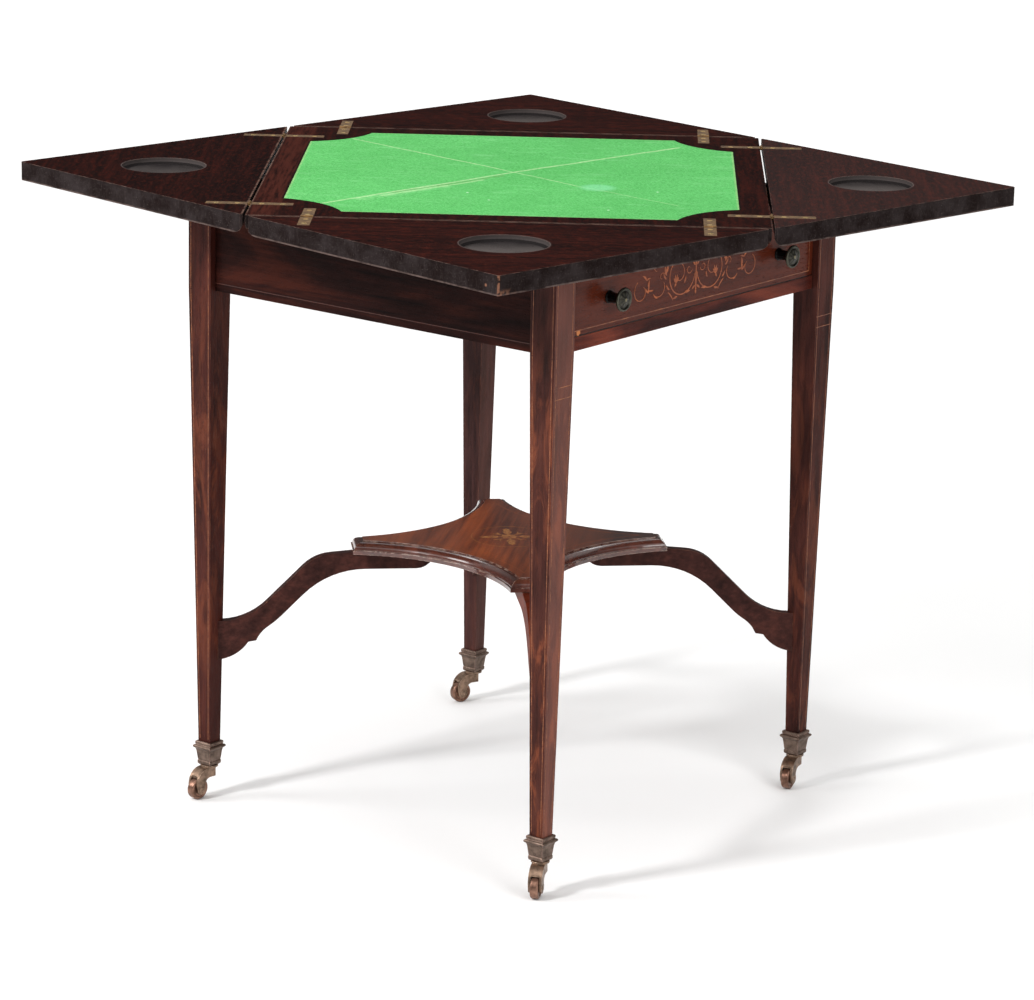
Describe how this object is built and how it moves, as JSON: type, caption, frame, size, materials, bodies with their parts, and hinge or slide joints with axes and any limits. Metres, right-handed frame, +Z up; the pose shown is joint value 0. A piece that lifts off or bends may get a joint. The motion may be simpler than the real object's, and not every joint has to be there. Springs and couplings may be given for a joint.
{
  "type": "swivel-top games table",
  "caption": "Square drawer table on tapered legs with castors, whose turning top opens on four triangular leaves over a baize field.",
  "frame": {"origin": "on the floor under the middle of the table, where the bolt of the top stands", "axes": "+Z up, the drawer faces -Y, the plain friezes face -X, +X and +Y"},
  "size_m": [0.8968, 0.8968, 0.7298],
  "materials": {
    "leg_rosewood": "waxed, polished",
    "frieze_rosewood": "waxed, polished",
    "carcase_wood": "bare",
    "shelf_rosewood": "waxed, polished",
    "drawer_rosewood": "waxed, glossy",
    "dark_bronze": "aged",
    "top_rosewood": "waxed, worn",
    "green_baize": "woollen cloth",
    "hinge_brass": "aged, satin",
    "screw_brass": "worn bright",
    "bolt_iron": "plain",
    "castor_brass": "aged, satin",
    "wheel_brass": "worn tread"
  },
  "bodies": {
    "frame": {"leg_front_left": "leg_rosewood", "leg_front_right": "leg_rosewood", "leg_back_right": "leg_rosewood", "leg_back_left": "leg_rosewood", "frieze_back": "frieze_rosewood", "frieze_left": "frieze_rosewood", "frieze_right": "frieze_rosewood", "front_top_rail": "frieze_rosewood", "drawer_rail": "frieze_rosewood", "pivot_rail": "carcase_wood", "drawer_runners": "carcase_wood", "drawer_kickers": "carcase_wood", "swivel_stop": "carcase_wood", "shelf": "shelf_rosewood", "stretcher_front_left": "shelf_rosewood", "stretcher_front_right": "shelf_rosewood", "stretcher_back_right": "shelf_rosewood", "stretcher_back_left": "shelf_rosewood", "cup_front_left": "castor_brass", "cup_front_right": "castor_brass", "cup_back_right": "castor_brass", "cup_back_left": "castor_brass"},
    "top": {"top_board": "top_rosewood", "baize": "green_baize", "board_straps": "hinge_brass", "board_screws": "screw_brass", "hinge_pins": "hinge_brass", "pivot_bolt": "bolt_iron", "pivot_nut": "bolt_iron", "stop_peg": "carcase_wood"},
    "leaf_back_body": {"leaf_back": "top_rosewood", "straps_back": "hinge_brass", "screws_back": "screw_brass"},
    "leaf_left_body": {"leaf_left": "top_rosewood", "straps_left": "hinge_brass", "screws_left": "screw_brass"},
    "leaf_front_body": {"leaf_front": "top_rosewood", "straps_front": "hinge_brass", "screws_front": "screw_brass"},
    "leaf_right_body": {"leaf_right": "top_rosewood", "straps_right": "hinge_brass", "screws_right": "screw_brass"},
    "drawer": {"drawer_front": "drawer_rosewood", "drawer_side_left": "carcase_wood", "drawer_side_right": "carcase_wood", "drawer_back": "carcase_wood", "drawer_bottom": "carcase_wood", "drawer_knobs": "dark_bronze"},
    "fork_front_left_body": {"fork_front_left": "castor_brass", "axle_front_left": "castor_brass"},
    "wheel_front_left_body": {"wheel_front_left": "wheel_brass"},
    "fork_front_right_body": {"fork_front_right": "castor_brass", "axle_front_right": "castor_brass"},
    "wheel_front_right_body": {"wheel_front_right": "wheel_brass"},
    "fork_back_right_body": {"fork_back_right": "castor_brass", "axle_back_right": "castor_brass"},
    "wheel_back_right_body": {"wheel_back_right": "wheel_brass"},
    "fork_back_left_body": {"fork_back_left": "castor_brass", "axle_back_left": "castor_brass"},
    "wheel_back_left_body": {"wheel_back_left": "wheel_brass"}
  },
  "joints": [
    {"name": "top_swivel", "type": "hinge", "parent": "frame", "child": "top", "pos_m": [0, 0, 0.7065], "axis": [0, 0, 1], "range_deg": [-36.55, 8.45]},
    {"name": "leaf_back_hinge", "type": "hinge", "parent": "top", "child": "leaf_back_body", "pos_m": [0.22493, 0.16675, 0.72815], "axis": [0.5955, -0.8033, 0], "range_deg": [0, 180]},
    {"name": "leaf_left_hinge", "type": "hinge", "parent": "top", "child": "leaf_left_body", "pos_m": [-0.16675, 0.22493, 0.72815], "axis": [0.8033, 0.5955, 0], "range_deg": [0, 180]},
    {"name": "leaf_front_hinge", "type": "hinge", "parent": "top", "child": "leaf_front_body", "pos_m": [-0.22493, -0.16675, 0.72815], "axis": [-0.5955, 0.8033, 0], "range_deg": [0, 180]},
    {"name": "leaf_right_hinge", "type": "hinge", "parent": "top", "child": "leaf_right_body", "pos_m": [0.16675, -0.22493, 0.72815], "axis": [-0.8033, -0.5955, 0], "range_deg": [0, 180]},
    {"name": "drawer_slide", "type": "slide", "parent": "frame", "child": "drawer", "axis": [0, -1, 0], "range_m": [0, 0.28]},
    {"name": "castor_front_left_swivel", "type": "hinge", "parent": "frame", "child": "fork_front_left_body", "pos_m": [-0.243, -0.243, 0.038], "axis": [0, 0, 1], "continuous": true},
    {"name": "wheel_front_left_spin", "type": "hinge", "parent": "fork_front_left_body", "child": "wheel_front_left_body", "pos_m": [-0.25977, -0.25082, 0.0125], "axis": [0.4226, -0.9063, 0], "continuous": true},
    {"name": "castor_front_right_swivel", "type": "hinge", "parent": "frame", "child": "fork_front_right_body", "pos_m": [0.243, -0.243, 0.038], "axis": [0, 0, 1], "continuous": true},
    {"name": "wheel_front_right_spin", "type": "hinge", "parent": "fork_front_right_body", "child": "wheel_front_right_body", "pos_m": [0.2249, -0.24685, 0.0125], "axis": [0.2079, -0.9781, 0], "continuous": true},
    {"name": "castor_back_right_swivel", "type": "hinge", "parent": "frame", "child": "fork_back_right_body", "pos_m": [0.243, 0.243, 0.038], "axis": [0, 0, 1], "continuous": true},
    {"name": "wheel_back_right_spin", "type": "hinge", "parent": "fork_back_right_body", "child": "wheel_back_right_body", "pos_m": [0.22585, 0.24993, 0.0125], "axis": [-0.3746, -0.9272, 0], "continuous": true},
    {"name": "castor_back_left_swivel", "type": "hinge", "parent": "frame", "child": "fork_back_left_body", "pos_m": [-0.243, 0.243, 0.038], "axis": [0, 0, 1], "continuous": true},
    {"name": "wheel_back_left_spin", "type": "hinge", "parent": "fork_back_left_body", "child": "wheel_back_left_body", "pos_m": [-0.26145, 0.24429, 0.0125], "axis": [-0.0698, -0.9976, 0], "continuous": true}
  ]
}
